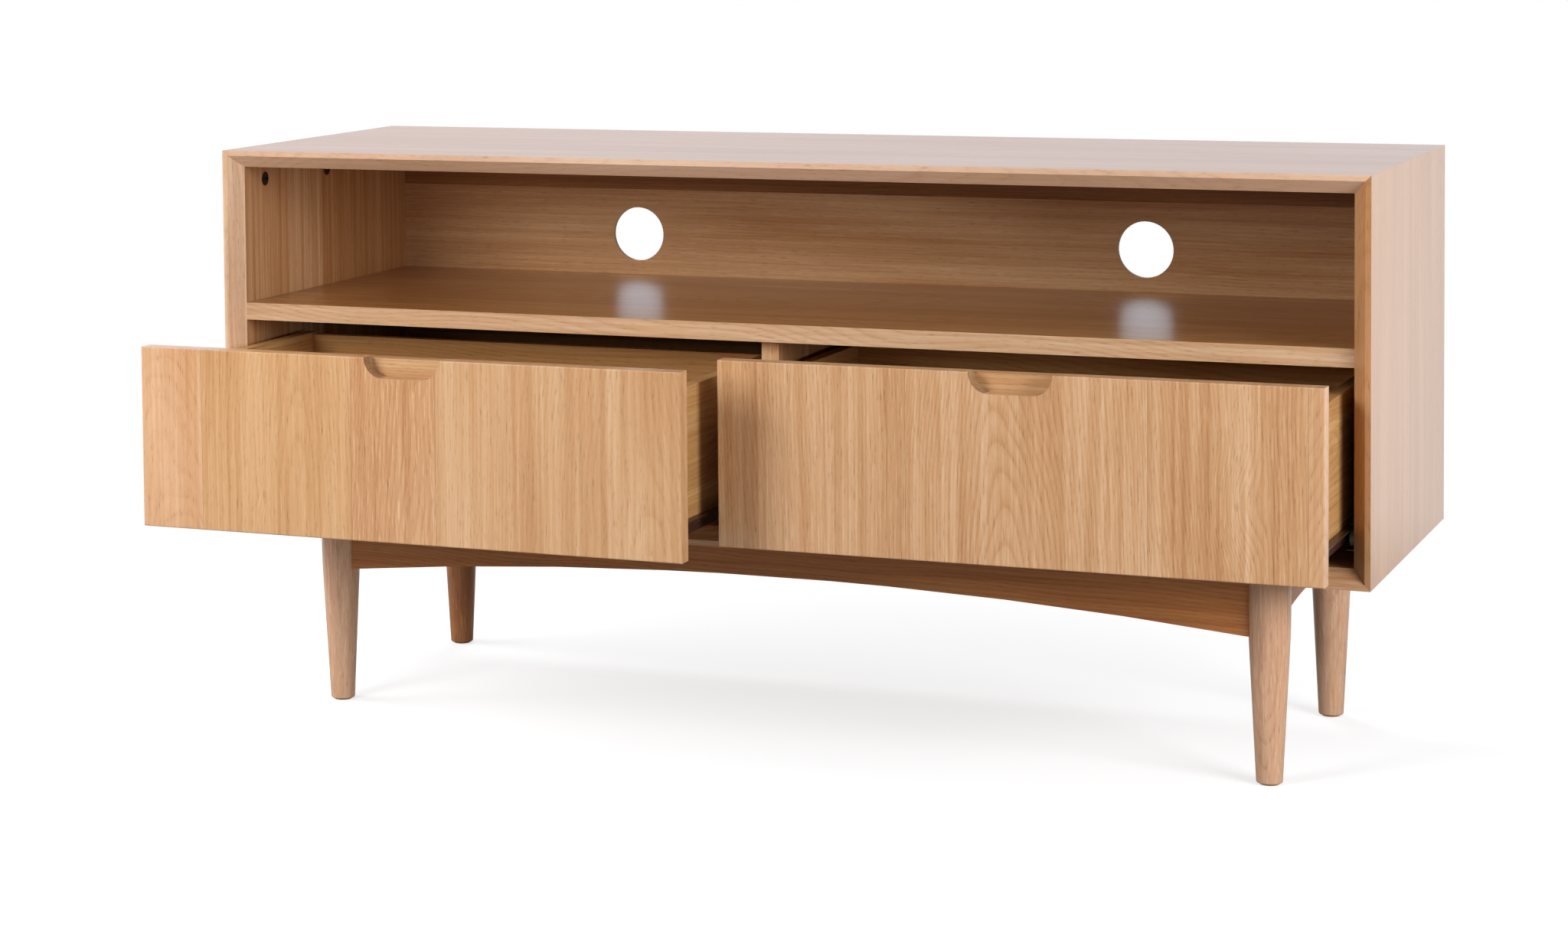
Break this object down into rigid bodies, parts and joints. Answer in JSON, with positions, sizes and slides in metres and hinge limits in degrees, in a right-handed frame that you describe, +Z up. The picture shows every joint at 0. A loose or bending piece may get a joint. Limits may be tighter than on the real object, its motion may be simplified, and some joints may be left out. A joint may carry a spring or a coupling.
{
  "type": "media cabinet",
  "caption": "Low oak media cabinet with a mitred case, an open compartment with cable holes above side-by-side roller drawers, on turned tapered legs.",
  "frame": {"origin": "middle of the bounding box's footprint on the floor, with the drawers as they stand at rest", "axes": "+X to the cabinet's right seen from the front, +Y to the back, +Z up; the drawers open towards -Y"},
  "size_m": [1.2, 0.606, 0.587],
  "materials": {
    "oak_carcass": "satin lacquered oak veneer",
    "oak_drawer_front": "satin lacquered oak veneer, upright grain",
    "oak_back": "satin oak veneered panel",
    "oak_turned": "satin lacquered solid wood",
    "oak_apron": "satin lacquered solid wood",
    "drawer_box_wood": "clear lacquered boards",
    "beech": "bare wood",
    "runner_enamel": "brown epoxy coat",
    "nylon": "natural nylon",
    "glide_plastic": "moulded",
    "cam_alloy": "bronzed",
    "zinc_steel": "zinc plated"
  },
  "bodies": {
    "carcass": {"apron_dowels": "beech", "back_panel": "oak_back", "back_panel_screws": "zinc_steel", "base_fixings": "zinc_steel", "bottom_panel": "oak_carcass", "cabinet_runner_screws": "zinc_steel", "cam_fittings": "cam_alloy", "carcass_dowels": "beech", "centre_divider": "oak_carcass", "corner_braces": "beech", "front_apron": "oak_apron", "front_left_glide": "glide_plastic", "front_left_leg": "oak_turned", "front_right_glide": "glide_plastic", "front_right_leg": "oak_turned", "left_apron": "oak_apron", "left_bay_runner_left": "runner_enamel", "left_bay_runner_right": "runner_enamel", "left_side_panel": "oak_carcass", "mitre_splines": "beech", "rear_apron": "oak_apron", "rear_left_glide": "glide_plastic", "rear_left_leg": "oak_turned", "rear_right_glide": "glide_plastic", "rear_right_leg": "oak_turned", "right_apron": "oak_apron", "right_bay_runner_left": "runner_enamel", "right_bay_runner_right": "runner_enamel", "right_side_panel": "oak_carcass", "shelf": "oak_carcass", "top_panel": "oak_carcass"},
    "left_drawer": {"left_drawer_bottom": "drawer_box_wood", "left_drawer_box_back": "drawer_box_wood", "left_drawer_box_front": "drawer_box_wood", "left_drawer_dowels": "beech", "left_drawer_front": "oak_drawer_front", "left_drawer_left_side": "drawer_box_wood", "left_drawer_right_side": "drawer_box_wood", "left_drawer_runner_left": "runner_enamel", "left_drawer_runner_right": "runner_enamel", "left_drawer_screws": "zinc_steel"},
    "right_drawer": {"right_drawer_bottom": "drawer_box_wood", "right_drawer_box_back": "drawer_box_wood", "right_drawer_box_front": "drawer_box_wood", "right_drawer_dowels": "beech", "right_drawer_front": "oak_drawer_front", "right_drawer_left_side": "drawer_box_wood", "right_drawer_right_side": "drawer_box_wood", "right_drawer_runner_left": "runner_enamel", "right_drawer_runner_right": "runner_enamel", "right_drawer_screws": "zinc_steel"},
    "left_bay_roller_left_wheel": {"left_bay_roller_left": "nylon"},
    "left_drawer_roller_left_wheel": {"left_drawer_roller_left": "nylon"},
    "left_bay_roller_right_wheel": {"left_bay_roller_right": "nylon"},
    "left_drawer_roller_right_wheel": {"left_drawer_roller_right": "nylon"},
    "right_bay_roller_left_wheel": {"right_bay_roller_left": "nylon"},
    "right_drawer_roller_left_wheel": {"right_drawer_roller_left": "nylon"},
    "right_bay_roller_right_wheel": {"right_bay_roller_right": "nylon"},
    "right_drawer_roller_right_wheel": {"right_drawer_roller_right": "nylon"}
  },
  "joints": [
    {"name": "left_drawer_slide", "type": "slide", "parent": "carcass", "child": "left_drawer", "axis": [0, -1, 0], "range_m": [-0.221, 0.004]},
    {"name": "left_bay_roller_left_spin", "type": "hinge", "parent": "carcass", "child": "left_bay_roller_left_wheel", "pos_m": [-0.5766, -0.048, 0.2438], "axis": [1, 0, 0], "range_deg": [-1307, 25]},
    {"name": "left_drawer_roller_left_spin", "type": "hinge", "parent": "left_drawer", "child": "left_drawer_roller_left_wheel", "pos_m": [-0.5749, 0.003, 0.2436], "axis": [1, 0, 0], "range_deg": [-1307, 25]},
    {"name": "left_bay_roller_right_spin", "type": "hinge", "parent": "carcass", "child": "left_bay_roller_right_wheel", "pos_m": [-0.0144, -0.048, 0.2438], "axis": [1, 0, 0], "range_deg": [-1307, 25]},
    {"name": "left_drawer_roller_right_spin", "type": "hinge", "parent": "left_drawer", "child": "left_drawer_roller_right_wheel", "pos_m": [-0.0161, 0.003, 0.2436], "axis": [1, 0, 0], "range_deg": [-1307, 25]},
    {"name": "right_drawer_slide", "type": "slide", "parent": "carcass", "child": "right_drawer", "axis": [0, -1, 0], "range_m": [-0.129, 0.096]},
    {"name": "right_bay_roller_left_spin", "type": "hinge", "parent": "carcass", "child": "right_bay_roller_left_wheel", "pos_m": [0.0144, -0.048, 0.2438], "axis": [1, 0, 0], "range_deg": [-763, 569]},
    {"name": "right_drawer_roller_left_spin", "type": "hinge", "parent": "right_drawer", "child": "right_drawer_roller_left_wheel", "pos_m": [0.0161, 0.095, 0.2436], "axis": [1, 0, 0], "range_deg": [-763, 569]},
    {"name": "right_bay_roller_right_spin", "type": "hinge", "parent": "carcass", "child": "right_bay_roller_right_wheel", "pos_m": [0.5766, -0.048, 0.2438], "axis": [1, 0, 0], "range_deg": [-763, 569]},
    {"name": "right_drawer_roller_right_spin", "type": "hinge", "parent": "right_drawer", "child": "right_drawer_roller_right_wheel", "pos_m": [0.5749, 0.095, 0.2436], "axis": [1, 0, 0], "range_deg": [-763, 569]}
  ],
  "couplings": [
    {"joint": "left_bay_roller_left_spin", "follows": "left_drawer_slide", "rad_per_m": 103.09},
    {"joint": "left_drawer_roller_left_spin", "follows": "left_drawer_slide", "rad_per_m": 103.09},
    {"joint": "left_bay_roller_right_spin", "follows": "left_drawer_slide", "rad_per_m": 103.09},
    {"joint": "left_drawer_roller_right_spin", "follows": "left_drawer_slide", "rad_per_m": 103.09},
    {"joint": "right_bay_roller_left_spin", "follows": "right_drawer_slide", "rad_per_m": 103.09},
    {"joint": "right_drawer_roller_left_spin", "follows": "right_drawer_slide", "rad_per_m": 103.09},
    {"joint": "right_bay_roller_right_spin", "follows": "right_drawer_slide", "rad_per_m": 103.09},
    {"joint": "right_drawer_roller_right_spin", "follows": "right_drawer_slide", "rad_per_m": 103.09}
  ]
}
